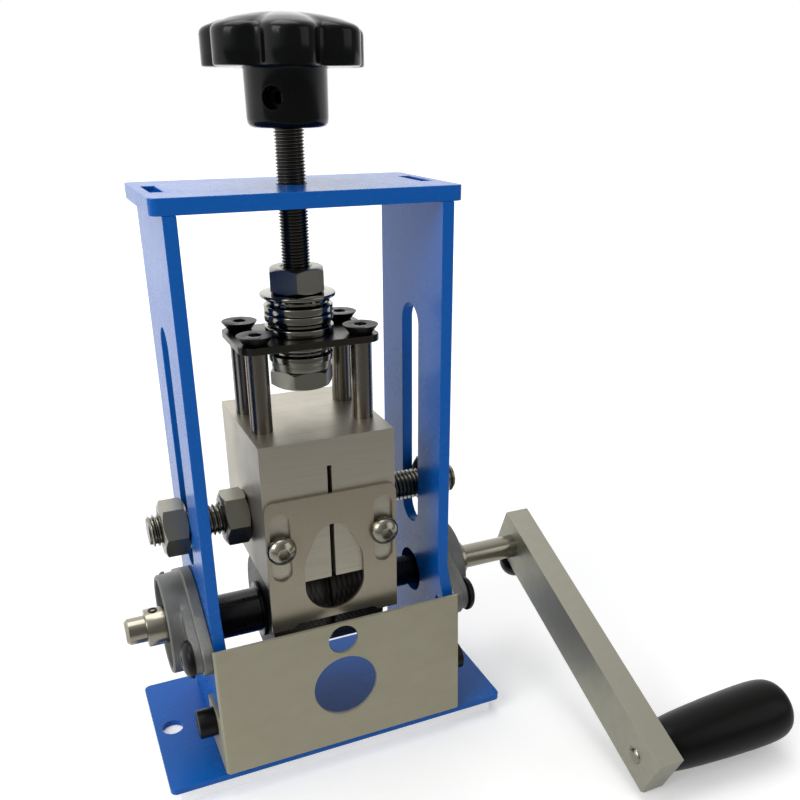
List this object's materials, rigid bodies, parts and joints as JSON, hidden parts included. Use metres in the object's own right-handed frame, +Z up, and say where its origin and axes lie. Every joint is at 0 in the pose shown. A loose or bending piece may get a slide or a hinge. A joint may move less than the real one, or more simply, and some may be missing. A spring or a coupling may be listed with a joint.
{
  "type": "wire stripping machine",
  "caption": "Hand-crank bench machine that slits cable insulation between a driven wheel and a blade block pressed down by a knob and screw.",
  "frame": {"origin": "underside of the base plate, below the axis of the lead screw", "axes": "+X to the crank side, +Y to the back, +Z up along the lead screw"},
  "size_m": [0.2807, 0.1706, 0.3128],
  "materials": {
    "blue_paint": "gloss blue enamel on laser-cut steel plate",
    "steel_sheet": "dull bare sheet steel",
    "block_steel": "ground steel with straight grain",
    "bright_steel": "bright turned and ground steel",
    "cast_grey": "grey cast housing with a fine grain",
    "thread_steel": "rolled thread, lightly oiled",
    "wheel_steel": "knurled grey steel",
    "black_oxide": "black oxide on socket screws",
    "black_plastic": "gloss black moulded plastic",
    "blade_steel": "hardened and ground cutting disc"
  },
  "bodies": {
    "frame": {"base_plate": "blue_paint", "left_side_plate": "blue_paint", "right_side_plate": "blue_paint", "top_plate": "blue_paint", "front_cover": "steel_sheet", "left_cover_bolt": "black_oxide", "right_cover_bolt": "black_oxide", "left_housing": "cast_grey", "right_housing": "cast_grey", "left_outer_ring": "bright_steel", "right_outer_ring": "bright_steel", "left_ball_row": "black_oxide", "right_ball_row": "black_oxide", "left_flange_bolts": "black_oxide", "right_flange_bolts": "black_oxide", "left_sleeve": "black_plastic"},
    "drive": {"drive_shaft": "bright_steel", "drive_wheel": "wheel_steel", "left_roller": "wheel_steel", "right_roller": "wheel_steel", "wheel_key": "bright_steel", "right_spacer": "black_plastic", "left_inner_ring": "bright_steel", "right_inner_ring": "bright_steel", "left_ring_screw": "black_oxide", "right_ring_screw": "black_oxide", "crank_arm": "block_steel", "arm_screw": "black_oxide", "grip_bolt": "bright_steel"},
    "handle": {"grip": "black_plastic"},
    "carriage": {"cutting_block": "block_steel", "posts": "bright_steel", "post_screws": "black_oxide", "press_plate": "block_steel", "plate_ring": "bright_steel", "low_plate_ring": "bright_steel", "cross_rod": "thread_steel", "left_rod_nut": "bright_steel", "right_rod_nut": "bright_steel", "block_nut": "bright_steel", "guide_screws": "bright_steel"},
    "spindle": {"lead_screw": "thread_steel", "knob": "black_plastic", "knob_screw": "black_oxide", "upper_nut": "bright_steel", "clamp_washer": "bright_steel", "upper_balls": "black_oxide", "upper_ring": "bright_steel", "middle_ring": "bright_steel", "middle_balls": "black_oxide", "lower_balls": "black_oxide", "low_ring": "bright_steel", "lower_nut": "bright_steel"},
    "blade": {"cutting_blade": "blade_steel"},
    "guide": {"guide_plate": "block_steel"}
  },
  "joints": [
    {"name": "crank_turn", "type": "hinge", "parent": "frame", "child": "drive", "pos_m": [0, 0, 0.061], "axis": [1, 0, 0], "continuous": true},
    {"name": "grip_spin", "type": "hinge", "parent": "drive", "child": "handle", "pos_m": [0.159, -0.11372, 0.01156], "axis": [1, 0, 0], "continuous": true},
    {"name": "block_lift", "type": "slide", "parent": "frame", "child": "carriage", "axis": [0, 0, 1], "range_m": [-0.0005, 0.025]},
    {"name": "screw_turn", "type": "hinge", "parent": "carriage", "child": "spindle", "pos_m": [0, 0, 0.2], "axis": [0, 0, 1], "range_deg": [-145, 7201]},
    {"name": "blade_spin", "type": "hinge", "parent": "carriage", "child": "blade", "pos_m": [0, 0, 0.1085], "axis": [1, 0, 0], "continuous": true},
    {"name": "guide_set", "type": "slide", "parent": "carriage", "child": "guide", "axis": [0, 0, 1], "range_m": [-0.012, 0.011]}
  ],
  "couplings": [
    {"joint": "screw_turn", "follows": "block_lift", "rad_per_m": 5026.5}
  ]
}
